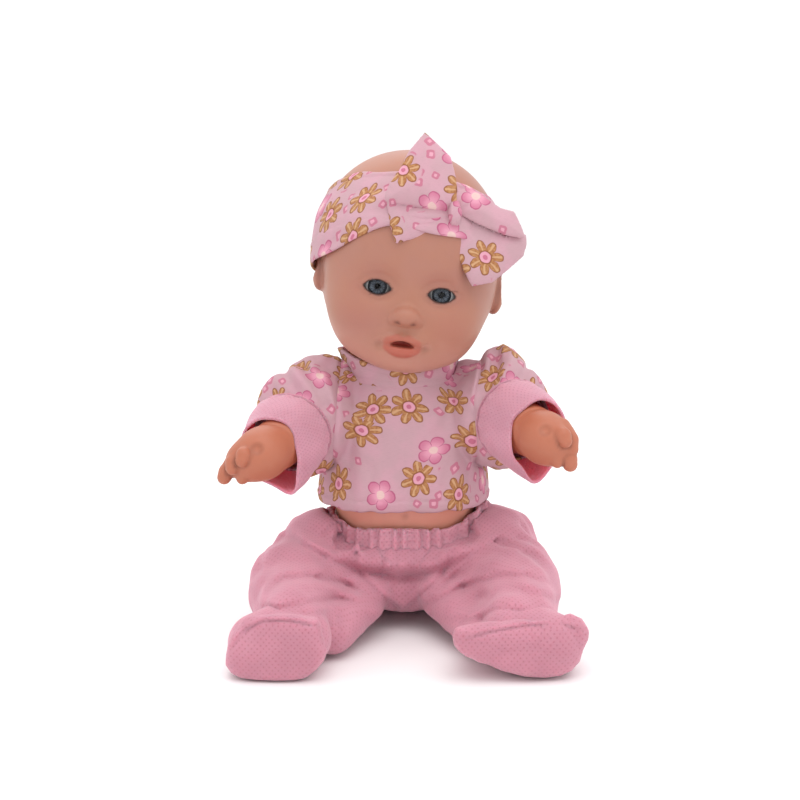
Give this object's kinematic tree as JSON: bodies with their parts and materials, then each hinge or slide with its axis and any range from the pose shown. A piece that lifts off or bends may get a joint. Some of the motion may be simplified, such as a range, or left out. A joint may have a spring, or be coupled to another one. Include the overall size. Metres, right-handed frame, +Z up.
{
  "type": "interactive baby doll",
  "caption": "Seated vinyl baby doll with turning head, swinging arms and legs, a press-to-talk tummy, sound electronics, printed shirt, bow headband and footed knit trousers",
  "frame": {"origin": "middle of the flat patch of the trouser seat that the doll sits on, at floor height", "axes": "+Z up, the doll faces -Y, its left side is +X"},
  "size_m": [0.1324, 0.1332, 0.1922],
  "materials": {
    "vinyl_skin": "matte soft vinyl",
    "print_cloth": "woven cotton with a small printed pattern",
    "pink_knit": "dimple knit",
    "elastic": "flat elastic",
    "white_plastic": "moulded plastic",
    "eye_white": "glossy",
    "iris": "grey-blue, radial lines",
    "eye_lens": "clear dome",
    "steel": "plain steel",
    "black_plastic": "black plastic",
    "cone_paper": "pressed cone",
    "board_green": "solder mask",
    "wire_red": "insulation",
    "wire_black": "insulation"
  },
  "bodies": {
    "torso": {"torso_front": "vinyl_skin", "torso_back": "vinyl_skin", "torso_screws": "steel", "neck_post": "white_plastic", "shirt_body": "print_cloth", "shirt_collar": "print_cloth", "shirt_back_fastener": "print_cloth", "trouser_seat": "pink_knit", "waistband": "pink_knit", "waist_elastic": "elastic", "button_spring": "steel", "tact_switch": "black_plastic", "circuit_board": "board_green", "sound_chip": "black_plastic", "speaker_frame": "black_plastic", "speaker_cone": "cone_paper", "battery_box": "white_plastic", "battery_cells": "steel", "battery_contacts": "steel", "battery_door": "vinyl_skin", "battery_door_screw": "steel", "power_switch_base": "black_plastic", "battery_wires": "wire_red", "speaker_wires": "wire_black"},
    "neck": {"neck_ring": "white_plastic"},
    "head": {"head_shell": "vinyl_skin", "left_eyeball": "eye_white", "right_eyeball": "eye_white", "eye_irises": "iris", "eye_lenses": "eye_lens", "eye_retainers": "white_plastic", "headband": "print_cloth", "bow_knot": "print_cloth", "bow_upper_wing": "print_cloth", "bow_lower_wing": "print_cloth"},
    "left_arm": {"left_arm": "vinyl_skin", "left_sleeve": "print_cloth", "left_cuff": "pink_knit"},
    "right_arm": {"right_arm": "vinyl_skin", "right_sleeve": "print_cloth", "right_cuff": "pink_knit"},
    "left_leg": {"left_leg": "vinyl_skin", "left_trouser_leg": "pink_knit"},
    "right_leg": {"right_leg": "vinyl_skin", "right_trouser_leg": "pink_knit"},
    "tummy_button": {"tummy_button": "white_plastic"},
    "power_slider": {"power_slider": "white_plastic"}
  },
  "joints": [
    {"name": "head_tilt", "type": "hinge", "parent": "torso", "child": "neck", "pos_m": [0, 0.002, 0.104], "axis": [0, 1, 0], "range_deg": [-9, 0]},
    {"name": "head_turn", "type": "hinge", "parent": "neck", "child": "head", "pos_m": [0, 0.002, 0.104], "axis": [0.1219, 0, 0.9925], "range_deg": [-40, 40]},
    {"name": "left_shoulder", "type": "hinge", "parent": "torso", "child": "left_arm", "pos_m": [0.031, 0.001, 0.082], "axis": [1, 0, 0], "range_deg": [-30, 14]},
    {"name": "right_shoulder", "type": "hinge", "parent": "torso", "child": "right_arm", "pos_m": [-0.031, 0.001, 0.082], "axis": [1, 0, 0], "range_deg": [-30, 7]},
    {"name": "left_hip", "type": "hinge", "parent": "torso", "child": "left_leg", "pos_m": [0.022, 0, 0.0175], "axis": [1, 0, 0], "range_deg": [0, 90]},
    {"name": "right_hip", "type": "hinge", "parent": "torso", "child": "right_leg", "pos_m": [-0.022, 0, 0.0175], "axis": [1, 0, 0], "range_deg": [0, 90]},
    {"name": "tummy_press", "type": "slide", "parent": "torso", "child": "tummy_button", "axis": [0, 1, 0], "range_m": [0, 0.002], "stiffness_N_per_m": 250, "springref_m": -0.001, "deforming": ["button_spring"]},
    {"name": "power_slide", "type": "slide", "parent": "torso", "child": "power_slider", "axis": [1, 0, 0], "range_m": [0, 0.004]}
  ]
}
